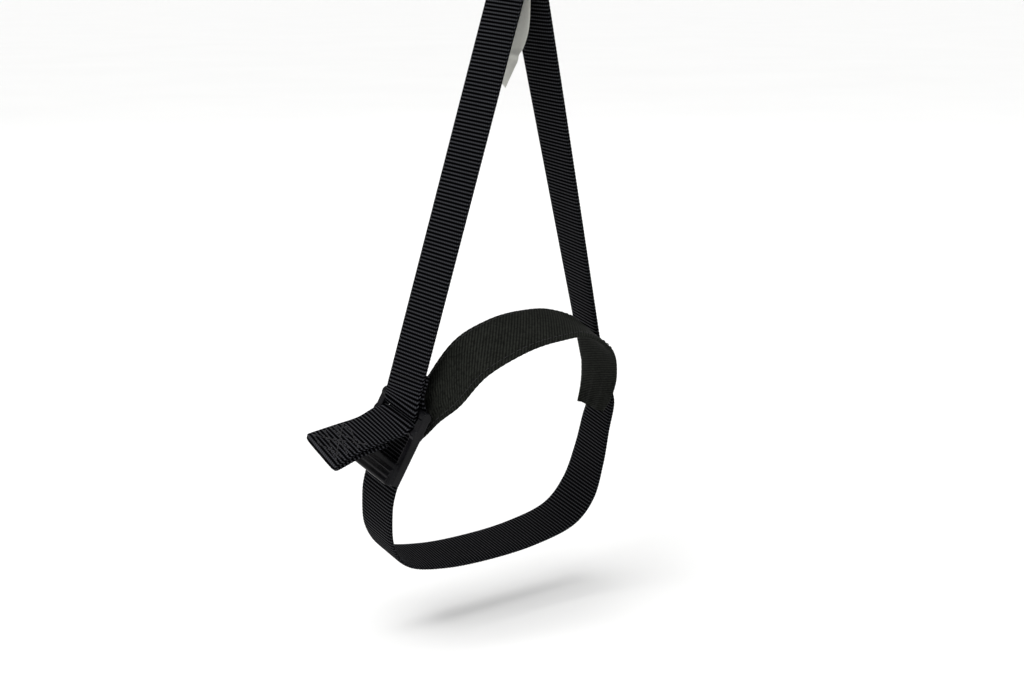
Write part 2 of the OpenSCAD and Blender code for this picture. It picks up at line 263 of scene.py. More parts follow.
def plastic_material(name):
    m, shader = base_material(name, (0.004, 0.004, 0.005), 0.22, 0.09)
    g = Graph(m, shader)
    grain = g.noise(g.position(), 1500, 3.0)
    wear = g.noise(g.position(), 160, 4.0)
    color = g.ramp(wear, (0.0015, 0.0015, 0.002), (0.006, 0.006, 0.007), 0.35, 0.7)
    g.link(color, shader.inputs["Base Color"])
    g.link(g.span(wear, 0.16, 0.32), shader.inputs["Roughness"])
    g.bump(grain, 0.18, 0.00012)
    return m


def steel_material(name):
    m, shader = base_material(name, (0.5, 0.5, 0.52), 0.25, 0.5, 1.0)
    g = Graph(m, shader)
    smudge = g.noise(g.position(), 210, 4.0)
    scratch = g.noise(g.position(), 2600, 2.0)
    color = g.ramp(smudge, (0.36, 0.36, 0.38), (0.56, 0.56, 0.57), 0.3, 0.7)
    g.link(color, shader.inputs["Base Color"])
    g.link(g.span(smudge, 0.16, 0.36), shader.inputs["Roughness"])
    g.bump(scratch, 0.06, 0.00008)
    return m


def label_material(name):
    """Off-white satin tape, blank."""
    m, shader = base_material(name, (0.72, 0.72, 0.66), 0.5, 0.3)
    g = Graph(m, shader)
    where, s, v = g.attribute("web_mm")
    weft = g.wave(s, 0.3)
    warp = g.wave(v, 0.22)
    fuzz = g.noise(where, 0.5, 4.0)
    cloth = g.math("MULTIPLY", g.span(weft, 0.7, 1.0), g.span(warp, 0.8, 1.0))
    tone = g.math("MULTIPLY", cloth, g.span(fuzz, 0.75, 1.15))
    g.link(g.ramp(tone, (0.52, 0.52, 0.47), (0.93, 0.93, 0.86), 0.2, 1.0), shader.inputs["Base Color"])
    g.link(g.span(fuzz, 0.38, 0.6), shader.inputs["Roughness"])
    g.bump(cloth, 0.3, 0.0001)
    return m


def tape_material(name, loops):
    """Hook tape (a grid of stubby hooks) or loop tape (a soft tangle)."""
    m, shader = base_material(name, (0.02, 0.02, 0.022), 0.7, 0.15)
    g = Graph(m, shader)
    n = g.node("ShaderNodeTexVoronoi")
    g.link(g.position(), n.inputs["Vector"])
    n.inputs["Scale"].default_value = 900 if loops else 620
    n.inputs["Randomness"].default_value = 1.0 if loops else 0.3
    dots = g.ramp(n.outputs["Distance"], (1, 1, 1), (0, 0, 0), 0.1, 0.7)
    g.link(g.ramp(dots, (0.003, 0.003, 0.0035), (0.03, 0.03, 0.033)), shader.inputs["Base Color"])
    g.bump(dots, 0.8, 0.0005)
    return m


# these three ribbed tapes use webbing_material, so their rib crests carry a painted highlight and their
# grooves painted shade
WEBBING = webbing_material("webbing_black", (0.0001, 0.0001, 0.0002), (0.040, 0.041, 0.046))
BINDING = webbing_material("binding_grosgrain", (0.001, 0.001, 0.0013), (0.034, 0.034, 0.038),
                           BINDING_PITCH, 0.5)
ELASTIC = webbing_material("elastic_black", (0.001, 0.001, 0.0013), (0.04, 0.04, 0.045),
                           ELASTIC_PITCH, 1.15)
BAND_CLOTH = twill_material("band_twill", (0.0004, 0.0005, 0.0004), (0.0160, 0.0172, 0.0146))
CUFF_CLOTH = cuff_material("cuff_spacer_mesh", (0.002, 0.002, 0.0022), (0.028, 0.029, 0.03), 2.6)
LINING_CLOTH = twill_material("cuff_lining_brushed", (0.008, 0.008, 0.009), (0.045, 0.045, 0.048),
                              1.1, 0.3)
THREAD = thread_material("thread_black", (0.012, 0.012, 0.013))
PLASTIC = plastic_material("acetal_black")
STEEL = steel_material("nickel_steel")
LABEL_CLOTH = label_material("label_satin")
HOOK_TAPE = tape_material("hook_tape", False)
LOOP_TAPE = tape_material("loop_tape", True)


# ---------------------------------------------------------------- mesh helpers


def new_mesh(name, verts, faces, material, web_mm=None, smooth=True):
    """A piece from vertices in metres, with an optional cloth coordinate in millimetres."""
    mesh = bpy.data.meshes.new(name)
    mesh.from_pydata([tuple(p) for p in verts], [], faces)
    mesh.validate()
    if smooth:
        mesh.polygons.foreach_set("use_smooth", [True] * len(mesh.polygons))
    if web_mm is not None:
        a = mesh.attributes.new("web_mm", "FLOAT_VECTOR", "POINT")
        a.data.foreach_set("vector", np.asarray(web_mm, np.float32).ravel())
    mesh.materials.append(material)
    mesh.update()
    piece = bpy.data.objects.new(name, mesh)
    bpy.context.scene.collection.objects.link(piece)
    return piece


def grid_faces(rows, columns, closed):
    """Quads of a grid of vertices; closed joins the last column to the first."""
    faces = []
    last = columns if closed else columns - 1
    for i in range(rows - 1):
        for j in range(last):
            a = i * columns + j
            b = i * columns + (j + 1) % columns
            faces.append((a, b, b + columns, a + columns))
    return faces


def curve_through(points, per_segment=24):
    """Dense smooth curve through the points."""
    p = [np.asarray(q, float) for q in points]
    p = [2 * p[0] - p[1]] + p + [2 * p[-1] - p[-2]]
    out = []
    for i in range(1, len(p) - 2):
        a, b, c, d = p[i - 1:i + 3]
        for k in range(per_segment):
            s = k / per_segment
            out.append(0.5 * (2 * b + (c - a) * s + (2 * a - 5 * b + 4 * c - d) * s ** 2
                              + (3 * b - a - 3 * c + d) * s ** 3))
    out.append(p[-2])
    return np.array(out)


def resample(curves, step):
    """Resamples curves at even steps of their mean's length, and gives those lengths too."""
    mid = sum(curves) / len(curves)
    lengths = np.concatenate([[0], np.cumsum(np.linalg.norm(np.diff(mid, axis=0), axis=1))])
    count = max(2, int(round(lengths[-1] / step)) + 1)
    at = np.linspace(0, lengths[-1], count)
    even = [np.stack([np.interp(at, lengths, c[:, k]) for k in range(3)], 1) for c in curves]
    return even, at


class Strap:
    """A flat strap between a front edge and a rear edge, in junction-frame millimetres."""

    def __init__(self, front, rear, thickness, step):
        (a, b), self.at = resample([curve_through(front), curve_through(rear)], step)
        self.mid = (a + b) / 2
        self.half = np.linalg.norm(a - b, axis=1) / 2
        self.across = unit(a - b)
        self.face = unit(np.cross(unit(np.gradient(self.mid, axis=0)), self.across))
        self.thickness = thickness
        self.length = self.at[-1]

    def point(self, s, v, lift=0.0):
        """Point at length s and v across, lifted off the front face, or off the back if negative."""
        get = lambda rows: np.array([np.interp(s, self.at, rows[:, k]) for k in range(3)])
        side = 1 if lift >= 0 else -1
        height = side * self.thickness / 2 + lift
        return get(self.mid) + get(self.across) * v + unit(get(self.face)) * height

    def normal(self, s):
        return unit(np.array([np.interp(s, self.at, self.face[:, k]) for k in range(3)]))


def strap_piece(name, strap, material, rib=0.19, pitch=RIB_PITCH, columns=9, warp=None,
                start_mm=0.0, mapper=place):
    """Mesh of a strap with real cross ribs and rounded selvages. warp(s, v) lifts the whole strap."""
    v = np.sin(np.linspace(-math.pi / 2, math.pi / 2, columns + 2))
    s = strap.at[:, None]
    ridge = np.abs(np.cos(math.pi * (s + start_mm) / pitch)) ** 0.6 - 0.5
    back_ridge = np.abs(np.sin(math.pi * (s + start_mm) / pitch)) ** 0.6 - 0.5
    crown = np.sqrt(1 - np.abs(v) ** 8)[None, :]
    scallop = 1 + 0.010 * (ridge + 0.5)
    spread = strap.half[:, None] * scallop * v[None, :]
    lift = np.zeros_like(spread) if warp is None else warp(s, spread)
    front_h = crown * (strap.thickness / 2 + rib * ridge) + lift
    back_h = -crown * (strap.thickness / 2 + rib * back_ridge) + lift

    def surface(h):
        return strap.mid[:, None, :] + strap.across[:, None, :] * spread[..., None] \
            + strap.face[:, None, :] * h[..., None]

    rows = len(strap.at)
    loop = np.concatenate([surface(front_h), surface(back_h)[:, -2:0:-1]], axis=1)
    columns_all = loop.shape[1]
    cloth_v = np.concatenate([spread, spread[:, -2:0:-1]], axis=1)
    cloth_s = np.repeat(s + start_mm, columns_all, axis=1)
    cloth_s[:, spread.shape[1]:] += pitch / 2
    cloth = np.stack([cloth_s, cloth_v, np.zeros_like(cloth_v)], -1).reshape(-1, 3)
    faces = grid_faces(rows, columns_all, True)
    faces = [f[::-1] for f in faces]
    faces.append(tuple(range(columns_all)))
    faces.append(tuple(range((rows - 1) * columns_all, rows * columns_all))[::-1])
    return new_mesh(name, mapper(loop.reshape(-1, 3)), faces, material, cloth)


def thread_piece(name, stitches, material, radius=0.24, mapper=place):
    """Short stitches as one mesh; each is (centre, direction, normal, length) in millimetres."""
    sides = 6
    profile = [(-0.5, -0.9), (-0.32, 0.25), (0.0, 0.75), (0.32, 0.25), (0.5, -0.9)]
    verts, faces = [], []
    for centre, direction, normal, length in stitches:
        t = unit(direction)
        n = unit(normal - t * np.dot(normal, t))
        b = np.cross(t, n)
        start = len(verts)
        for along, height in profile:
            c = centre + t * along * length + n * height * radius
            for k in range(sides):
                a = 2 * math.pi * k / sides
                verts.append(c + (n * math.cos(a) + b * math.sin(a)) * radius)
        for i in range(len(profile) - 1):
            for k in range(sides):
                a, c = start + i * sides + k, start + i * sides + (k + 1) % sides
                faces.append((a, c, c + sides, a + sides))
        last = start + (len(profile) - 1) * sides
        faces.append(tuple(start + k for k in range(sides))[::-1])
        faces.append(tuple(last + k for k in range(sides)))
    return new_mesh(name, mapper(np.array(verts)), faces, material)


def stitch_line(corners, on_face, spacing=2.5, length=2.0):
    """Stitches along the runs between corners (s, v); on_face(s, v) gives a point and a normal."""
    out = []
    for (s1, v1), (s2, v2) in zip(corners[:-1], corners[1:]):
        run = math.hypot(s2 - s1, v2 - v1)
        count = max(1, int(round(run / spacing)))
        for i in range(count):
            f = (i + 0.5) / count
            c, n = on_face(s1 + (s2 - s1) * f, v1 + (v2 - v1) * f)
            e, _ = on_face(s1 + (s2 - s1) * (f + 0.02), v1 + (v2 - v1) * (f + 0.02))
            out.append((c, e - c, n, min(length, run / count * 0.8)))
    return out


def box_x(s1, s2, half):
    """Corners of a sewn box with a cross in it."""
    return [(s1, -half), (s2, -half), (s2, half), (s1, half),
            (s1, -half), (s2, half), (s2, -half), (s1, half)]


def on_strap(strap, side=1):
    """Face function of a strap for stitch_line: side 1 is its front face, -1 its back."""
    return lambda s, v: (strap.point(s, v, 0.02 * side), strap.normal(s) * side)


def finish_piece(piece, body=None, nodes=()):
    if nodes:
        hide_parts(*nodes)
    if body:
        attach(piece, body)
    return piece


# ---------------------------------------------------------------- risers


def width_dir(a, twist):
    w = vec(0, -1, 0) + a * a[1]
    w = unit(w)
    n = np.cross(a, w)
    return w * math.cos(twist) + n * math.sin(twist)


def riser_frame(side, s):
    """Centre and width direction of a riser at fraction s from the junction to the apex."""
    low = vec(side * JUNCTION_X, 0, 0)
    high = vec(side * SEAM_X, APEX_Y, APEX_Z)
    twist = 0.05 + 0.02 * s if side < 0 else -0.28 + 0.34 * s
    return low + (high - low) * s, width_dir(unit(high - low), twist)


def buckle_point(x, u, v):
    """Buckle-frame millimetres (thickness, along the bars, up the rails) to the junction frame."""
    cf, sf = math.cos(BUCKLE_FLARE), math.sin(BUCKLE_FLARE)
    ct, st = math.cos(BUCKLE_TILT), math.sin(BUCKLE_TILT)
    x1, z1 = x * cf + v * sf, -x * sf + v * cf
    return BUCKLE_TOP + vec(x1, u * ct - z1 * st, u * st + z1 * ct)


def riser_edges(side):
    front, rear = [], []

    def add(centre, w):
        front.append(centre + w * WEB_W / 2)
        rear.append(centre - w * WEB_W / 2)

    if side < 0:
        # return ply, then round the buckle's top bar, then up the outer face
        bar_dir = buckle_point(0, -1, 0) - BUCKLE_TOP
        for s in (0.125, 0.1, 0.078):
            centre, w = riser_frame(side, s)
            add(centre + vec(1.62 + 4 * (0.125 - s), 0, 0), w)
        for a in range(0, 181, 20):
            a = math.radians(a)
            add(buckle_point(WRAP_R * math.cos(a), 0, -WRAP_R * math.sin(a)), bar_dir)
        fractions = [0.085, 0.12, 0.2, 0.35, 0.5, 0.65, 0.8, 0.93]
    else:
        fractions = [-0.012, 0.06, 0.15, 0.25, 0.4, 0.55, 0.7, 0.82, 0.93]
    for s in fractions:
        add(*riser_frame(side, s))
    for z in (APEX_Z + 3, APEX_Z + 10, SEAM_TOP_Z):
        add(vec(side * SEAM_X, APEX_Y, z), vec(0, -1, 0))
    return front, rear


def make_riser(side, name, nodes):
    front, rear = riser_edges(side)
    strap = Strap(front, rear, WEB_T, STEP)
    piece = strap_piece(name, strap, WEBBING)
    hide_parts(*nodes)
    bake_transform(piece)
    return strap


lateral = make_riser(-1, "lateral_riser_web", ["lateral_riser", "lateral_riser_end"])
medial = make_riser(1, "medial_riser_web", ["medial_riser", "medial_riser_end"])


def outward_side(strap, s, side):
    """1 if the strap's front face looks away from the leg at length s, else -1."""
    return 1 if strap.normal(s)[0] * side > 0 else -1


# sewn box through both risers and the elastic, and the bar tack that holds the buckle loop
seam = []
for strap, side in ((lateral, -1), (medial, 1)):
    end = strap.length
    face = on_strap(strap, outward_side(strap, end - 5, side))
    seam += stitch_line(box_x(end - 16, end - 2, SEW_HALF), face)
finish_piece(thread_piece("apex_seam_thread", seam, THREAD), "harness")

face = on_strap(lateral, outward_side(lateral, 40, -1))
tack_s = float(lateral.at[np.argmin(np.abs(lateral.mid[:, 2] - 17) + 100 * (lateral.at < 18))])
tacks = []
for row in (-1.5, 1.5):
    tacks += stitch_line([(tack_s + row, -7.6), (tack_s + row, 7.6)], face, 1.2, 1.0)
finish_piece(thread_piece("buckle_loop_thread", tacks, THREAD), "foot_loop")


# ---------------------------------------------------------------- adjustable strap and pull tab

STIRRUP = [(-47.9, 3.5, -11.8), (-50.1, 5.7, -20.3), (-50.2, 7.8, -29), (-47.5, 10.5, -42),
           (-39, 12.5, -51.5), (-21, 14, -56), (0, 14, -57), (21, 14, -56), (39, 12.5, -51.5),
           (47.8, 10.5, -42), (50.8, 7.5, -28), (51.2, 4, -14), (50.56, -0.24, -2.83),
           (48.47, -0.73, 4.51), (46.38, -1.23, 11.84)]
TAB = [((-50.1, -9, -0.3), (-50.1, 9.4, 6.3)), ((-57, -7.5, -1.8), (-56.5, 10.4, 3.6)),
       ((-65, -5, -4.2), (-64.5, 13, 1.6)), ((-72.5, -2, -8.5), (-72.5, 16, -0.4))]


def stirrup_width(i):
    turn = min(1, max(0, i - 9) / 3)
    return unit(vec(-0.245 * turn, -0.96, -0.24 + 0.11 * turn))


def make_adjustable():
    """One strap: folded tab end, tab, over the lock bar, under the arch, up to the medial riser."""
    front, rear = [], []
    fold = vec(0.9, 0, -WEB_T - 0.15)
    for f, r in [TAB[1], TAB[2]]:
        front.append(vec(*f) + fold)
        rear.append(vec(*r) + fold)
    tip_f, tip_r = vec(*TAB[3][0]), vec(*TAB[3][1])
    for out, down in ((-0.2, 0.95), (-1.0, 0.55), (-0.2, 0.1)):
        front.append(tip_f + vec(out, 0, -down * WEB_T))
        rear.append(tip_r + vec(out, 0, -down * WEB_T))
    for f, r in TAB[2::-1]:
        front.append(vec(*f))
        rear.append(vec(*r))
    bar_dir = buckle_point(0, -1, 0) - BUCKLE_TOP
    for a in range(150, -1, -30):
        a = math.radians(a)
        c = buckle_point(WRAP_R * math.cos(a), 0, LOCK_BAR_V + WRAP_R * math.sin(a))
        front.append(c + bar_dir * WEB_W / 2)
        rear.append(c - bar_dir * WEB_W / 2)
    for i, c in enumerate(STIRRUP):
        w = stirrup_width(i) * WEB_W / 2
        front.append(vec(*c) + w)
        rear.append(vec(*c) - w)
    return Strap(front, rear, WEB_T, STEP)


adjustable = make_adjustable()
piece = strap_piece("adjustable_strap_web", adjustable, WEBBING, rib=0.17)
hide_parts("stirrup_strap", "pull_tab", "tab_fold")
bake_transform(piece)

# dense stitching through the tab's folded end
tip_s = float(adjustable.at[np.argmin(adjustable.mid[:, 0])])
tab_face = on_strap(adjustable, 1 if adjustable.normal(tip_s + 10)[2] > 0 else -1)
rows = []
for k in range(6):
    s = tip_s + 2.5 + 2.1 * k
    wobble = 0.8 if k % 2 else -0.8
    rows += stitch_line([(s, -7.8), (s + wobble, -2.6), (s - wobble, 2.6), (s, 7.8)], tab_face, 1.9, 1.6)
rows += stitch_line([(tip_s + 2, -8), (tip_s + 14, 8)], tab_face, 1.9, 1.6)
rows += stitch_line([(tip_s + 2, 8), (tip_s + 14, -8)], tab_face, 1.9, 1.6)
finish_piece(thread_piece("tab_thread", rows, THREAD), "tab")

# the medial joint: strap end sewn to the riser
end = adjustable.length
joint_side = outward_side(adjustable, end - 6, 1)
medial_joint = stitch_line(box_x(end - 19, end - 2.5, SEW_HALF), on_strap(adjustable, joint_side))
finish_piece(thread_piece("medial_joint_thread", medial_joint, THREAD), "foot_loop")


# ---------------------------------------------------------------- instep band

BAND_FRONT = [(-40.5, -3, -6), (-40, -13, 2.5), (-36.5, -24, 11.5), (-29, -30, 22), (-15, -32, 28),
              (0, -33, 31), (15, -31, 30), (30, -28, 22), (37.5, -22, 11), (41.5, -15.5, 1),
              (42.8, -9.6, -6)]
BAND_REAR = [(-37.6, 7, -6), (-37.6, 3, 6), (-35.5, -3, 18), (-28, -9.5, 31), (-15, -12, 37),
             (0, -11.4, 38), (15, -9.5, 37), (29, -8, 31), (37, -2.5, 19), (42.4, 3.5, 7),
             (45.6, 8.5, -5)]


def band_folds(s, v, length):
    """Gathers at both sewn ends and a faint drape over the instep."""
    near = np.clip(1 - s / 40, 0, 1) ** 1.3
    far = np.clip(1 - (length - s) / 30, 0, 1) ** 1.6
    gathers = 0.6 * np.sin(v * 1.05 + 0.6 + s / 17) + 0.3 * np.sin(v * 1.9 - s / 9)
    drape = 0.28 * np.sin(s / 11 + v / 9) + 0.16 * np.sin(s / 4.7 - v / 5)
    return gathers * (near + 0.6 * far) + drape


band = Strap(BAND_FRONT, BAND_REAR, BAND_T, 0.6)
piece = strap_piece("instep_band_cloth", band, BAND_CLOTH, rib=0.02, pitch=2.4, columns=33,
                    warp=lambda s, v: band_folds(s, v, band.length))
finish_piece(piece, "foot_loop", ["instep_band"])


band_side = 1 if band.normal(band.length / 2)[2] > 0 else -1


def band_face(s, across):
    """Outer face of the band at length s; across runs from -1 to 1 between its edges."""
    v = across * float(np.interp(s, band.at, band.half))
    lift = float(band_folds(np.array([[s]]), np.array([[v]]), band.length)[0, 0])
    n = band.normal(s)
    return band.point(s, v, 0.001 * band_side) + n * (lift - 0.03 * band_side), n * band_side


hems = []
for across in (-0.84, 0.84):
    hems += stitch_line([(s, across) for s in np.linspace(4, band.length - 4, 52)], band_face, 2.4, 1.9)
for first, last in ((3, 11), (band.length - 15, band.length - 3)):
    corners = [(s, v * 0.8) for s, v in box_x(first, last, 0.84)]
    count = 5
    for (s1, v1), (s2, v2) in zip(corners[:-1], corners[1:]):
        steps = [(s1 + (s2 - s1) * k / count, v1 + (v2 - v1) * k / count) for k in range(count + 1)]
        hems += stitch_line(steps, band_face, 2.6, 2.0)
finish_piece(thread_piece("band_hem_thread", hems, THREAD, 0.12), "foot_loop")


# ---------------------------------------------------------------- ladder lock


def add_box(verts, faces, low, high, to_world):
    """Adds a plain box; the remesh that follows rounds it."""
    start = len(verts)
    for x in (low[0], high[0]):
        for y in (low[1], high[1]):
            for z in (low[2], high[2]):
                verts.append(to_world(x, y, z))
    for f in ((0, 1, 3, 2), (4, 6, 7, 5), (0, 4, 5, 1), (2, 3, 7, 6), (0, 2, 6, 4), (1, 5, 7, 3)):
        faces.append(tuple(start + k for k in f))


def add_rod(verts, faces, a, b, radius, to_world, sides=20):
    """Adds a rod between two points."""
    a, b = vec(*a), vec(*b)
    t = unit(b - a)
    u = unit(np.cross(t, vec(0, 0, 1) if abs(t[2]) < 0.9 else vec(1, 0, 0)))
    w = np.cross(t, u)
    start = len(verts)
    for c in (a, b):
        for k in range(sides):
            ang = 2 * math.pi * k / sides
            verts.append(to_world(*(c + (u * math.cos(ang) + w * math.sin(ang)) * radius)))
    for k in range(sides):
        p, q = start + k, start + (k + 1) % sides
        faces.append((p, q, q + sides, p + sides))
    faces.append(tuple(start + k for k in range(sides))[::-1])
    faces.append(tuple(start + sides + k for k in range(sides)))


def moulded(piece, voxel_mm, smoothing):
    """Fuses overlapping solids and softens the edges, as a mould or a casting does."""
    remesh = piece.modifiers.new("fuse", "REMESH")
    remesh.mode = "VOXEL"
    remesh.voxel_size = voxel_mm / 1000
    remesh.use_smooth_shade = True
    soften = piece.modifiers.new("soften", "SMOOTH")
    soften.factor = 0.5
    soften.iterations = smoothing
    bpy.context.view_layer.update()
    evaluated = piece.evaluated_get(bpy.context.evaluated_depsgraph_get())
    shape = bpy.data.meshes.new_from_object(evaluated)
    piece.modifiers.clear()
    piece.data = shape
    return piece


def make_ladder_lock():
    verts, faces = [], []
    half = WEB_W / 2 + 1.7
    for side in (-1, 1):
        u = side * half
        add_box(verts, faces, (-1.7, u - 1.35, -BUCKLE_LEN + 0.6), (1.7, u + 1.35, 0.3), buckle_point)
        add_rod(verts, faces, (0, u - 1.35, 0), (0, u + 1.35, 0), 2.1, buckle_point)
        add_rod(verts, faces, (0, u - 1.35, LOCK_BAR_V), (0, u + 1.35, LOCK_BAR_V), 2.3, buckle_point)
    add_rod(verts, faces, (0, -half, 0), (0, half, 0), BAR_R, buckle_point)
    add_rod(verts, faces, (0, -half, LOCK_BAR_V), (0, half, LOCK_BAR_V), BAR_R, buckle_point)
    add_box(verts, faces, (-2.0, -half, -BUCKLE_LEN), (0.5, half, LIP_BAR_V + 2), buckle_point)
    for k, v in enumerate((-BUCKLE_LEN + 0.9, -BUCKLE_LEN + 2.9, -BUCKLE_LEN + 4.9)):
        add_rod(verts, faces, (-2.1, -half + 1, v), (-2.1, half - 1, v), 1.2 - 0.22 * k, buckle_point)
    lock = new_mesh("ladder_lock_body", place(np.array(verts)), faces, PLASTIC)
    return moulded(lock, 0.22, 3)


finish_piece(make_ladder_lock(), "foot_loop", ["ladder_lock"])


# ---------------------------------------------------------------- blank label

LABEL_FRONT = [(0, -18, 164.5), (0, -17.5, 150), (0.3, -16, 138), (0.6, -11, 128.5), (0.2, -4, 117.5)]
LABEL_REAR = [(0, -3, 164.5), (0, -2.5, 150), (-0.5, -1.5, 141), (-0.7, 3, 134), (0.3, 9.5, 124)]


def label_crease(s, v):
    """A cupped edge and one crease part of the way down."""
    fold = np.exp(-((s - 36.5 + 0.35 * v) / 1.4) ** 2)
    curl = np.clip(v - 3.5, 0, 5) ** 2 * 0.035 * np.clip((s - 8) / 14, 0, 1)
    return 0.7 * fold + curl + 0.25 * np.sin(s / 5.5)


label = Strap(LABEL_FRONT, LABEL_REAR, 0.35, 0.5)
piece = strap_piece("care_label_tape", label, LABEL_CLOTH, rib=0.0, pitch=1.0, columns=25,
                    warp=label_crease)
finish_piece(piece, "harness", ["care_label"])


# ---------------------------------------------------------------- elastic lift strap


def make_lift_strap():
    front, rear = [], []
    path = [(0, APEX_Z + 4), (0, APEX_Z + 30), (0, 216), (-0.78, 226), (-0.8, 234), (-2.3, 242.5)]
    for a in range(180, -1, -30):
        a = math.radians(a)
        path.append((WRAP_R * math.cos(a), EYE_Z + WRAP_R * math.sin(a)))
    path += [(2.3, 242.5), (0.8, 234), (0.8, 223)]
    for x, z in path:
        front.append(vec(x, APEX_Y - WEB_W / 2, z))
        rear.append(vec(x, APEX_Y + WEB_W / 2, z))
    return Strap(front, rear, WEB_T, ELASTIC_PITCH / 5)


lift = make_lift_strap()
piece = strap_piece("lift_strap_elastic", lift, ELASTIC, rib=0.07, pitch=ELASTIC_PITCH)
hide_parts("lift_loop", "lift_elastic")
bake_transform(piece)

sewn = []
front_s = float(lift.at[np.argmin(np.abs(lift.mid[:, 2] - 224) + 100 * (lift.at > lift.length / 2))])
for first, last, want in ((front_s, front_s + 11, -1), (lift.length - 12, lift.length - 1, 1)):
    face = on_strap(lift, outward_side(lift, (first + last) / 2, want))
    sewn += stitch_line(box_x(first, last, SEW_HALF), face)
finish_piece(thread_piece("lift_loop_thread", sewn, THREAD), "lift")


# ---------------------------------------------------------------- calf cuff

cuff_place = lambda p: np.asarray(p, float) / 1000


def around(phi, r, z=None):
    """Point round the cuff at angle phi from the front towards the outer side."""
    x, y = -math.sin(phi) * r, -math.cos(phi) * r
    return vec(x, y) if z is None else vec(x, y, z)


CUFF_START = SPLIT_PHI + SPLIT_HALF
CUFF_END = SPLIT_PHI - SPLIT_HALF + 2 * math.pi
CHANNELS = [7.0, 20.5, 59.5, 73.0]


def puff(z):
    """0 on a sewn channel, 1 midway between two."""
    for low, high in zip(CHANNELS[:-1], CHANNELS[1:]):
        if low <= z <= high:
            return math.sqrt(math.sin(math.pi * (z - low) / (high - low)))
    return 0.0


def make_cuff():
    """Padded body: outer face puffed between sewn channels, inner face softly quilted."""
    z_out = np.linspace(1, CUFF_H - 1, 79)
    rows = 260
    verts, cloth = [], []
    for i in range(rows):
        phi = CUFF_START + (CUFF_END - CUFF_START) * i / (rows - 1)
        ring = []
        for z in z_out:
            ripple = 0.10 * math.sin(9 * phi + z / 7) + 0.06 * math.sin(23 * phi - z / 4)
            ring.append((CUFF_OUTER_R + 0.85 * puff(z) + ripple * puff(z), z))
        for z in z_out[::-1]:
            quilt = 0.5 * (1 - puff(z)) + 0.08 * math.sin(11 * phi + z / 5)
            ring.append((CUFF_INNER_R + quilt, z))
        for r, z in ring:
            verts.append(around(phi, r, z))
            cloth.append((phi * 57, z, 0))
    columns = 2 * len(z_out)
    faces = grid_faces(rows, columns, True)
    faces.append(tuple(range(columns))[::-1])
    faces.append(tuple(range((rows - 1) * columns, rows * columns)))
    body = new_mesh("cuff_padding", cuff_place(np.array(verts)), faces, CUFF_CLOTH, cloth)
    return body, len(z_out), columns, rows


cuff, outer_count, columns, rows = make_cuff()
cuff.data.materials.append(LINING_CLOTH)
inner = [1 if (k % columns) >= outer_count else 0 for k in range((rows - 1) * columns)]
for index, polygon in enumerate(cuff.data.polygons):
    if index < len(inner):
        polygon.material_index = inner[index]
finish_piece(cuff, "cuff", ["cuff_shell", "cuff_lining"])


def cuff_face(s, z):
    """Outer face for stitches: s is the arc length at the shell."""
    phi = s / SHELL_R
    return around(phi, STITCH_R, z), around(phi, 1, 0)


channel_rows = []
for z in CHANNELS[1:3]:
    arc = np.linspace(CUFF_START + 0.03, CUFF_END - 0.03, 110) * SHELL_R
    channel_rows += stitch_line([(s, z) for s in arc], cuff_face, 3.2, 2.5)
piece = thread_piece("cuff_channel_thread", channel_rows, THREAD, mapper=cuff_place)
finish_piece(piece, "cuff")


def make_binding(name, base_z, up):
    """Grosgrain tape folded over the cuff's edge, ribbed along its run."""
    profile = [(58.55, 7), (58.95, 6.4), (59.0, 3), (58.8, 0.4), (58.0, -0.7), (56.6, -1.0),
               (55.3, -0.7), (54.5, 0.4), (54.35, 3), (54.45, 6.4), (54.85, 7), (55.1, 6.0),
               (55.3, 1.5), (56.6, 0.9), (57.9, 1.5), (58.2, 6.0)]
    dense = curve_through([(r, z, 0) for r, z in profile + profile[:1]], 3)[:-1, :2]
    step = BINDING_PITCH / 4
    rows = int((CUFF_END - CUFF_START) * SHELL_R / step)
    centre = vec(56.65, 3)
    verts, cloth = [], []
    lengths = np.cumsum(np.linalg.norm(np.diff(dense, axis=0, prepend=dense[:1]), axis=1))
    for i in range(rows):
        phi = CUFF_START + (CUFF_END - CUFF_START) * i / (rows - 1)
        arc = (phi - CUFF_START) * SHELL_R
        swell = 0.07 * (abs(math.cos(math.pi * arc / BINDING_PITCH)) - 0.5)
        for (r, z), across in zip(dense, lengths):
            outward = unit(vec(r, z) - centre)
            r2, z2 = vec(r, z) + outward * swell
            verts.append(around(phi, r2, base_z + (z2 if up else -z2)))
            cloth.append((arc, across, 0))
    columns = len(dense)
    faces = grid_faces(rows, columns, True)
    faces.append(tuple(range(columns))[::-1])
    faces.append(tuple(range((rows - 1) * columns, rows * columns)))
    if up:
        faces = [f[::-1] for f in faces]
    return new_mesh(name, cuff_place(np.array(verts)), faces, BINDING, cloth)


finish_piece(make_binding("cuff_binding_low", 0, True), "cuff", ["cuff_binding_bottom"])
finish_piece(make_binding("cuff_binding_high", CUFF_H, False), "cuff", ["cuff_binding_top"])



def binding_face(s, z):
    """Outer face of the edge tapes for stitches."""
    phi = s / SHELL_R
    return around(phi, BINDING_FACE_R, z), around(phi, 1, 0)


binding_rows = []
for z in (BINDING_STITCH_Z, CUFF_H - BINDING_STITCH_Z):
    arc = np.linspace(CUFF_START + 0.02, CUFF_END - 0.02, 110) * SHELL_R
    binding_rows += stitch_line([(s, z) for s in arc], binding_face, 2.9, 2.2)
finish_piece(thread_piece("binding_thread", binding_rows, THREAD, 0.2, cuff_place), "cuff")


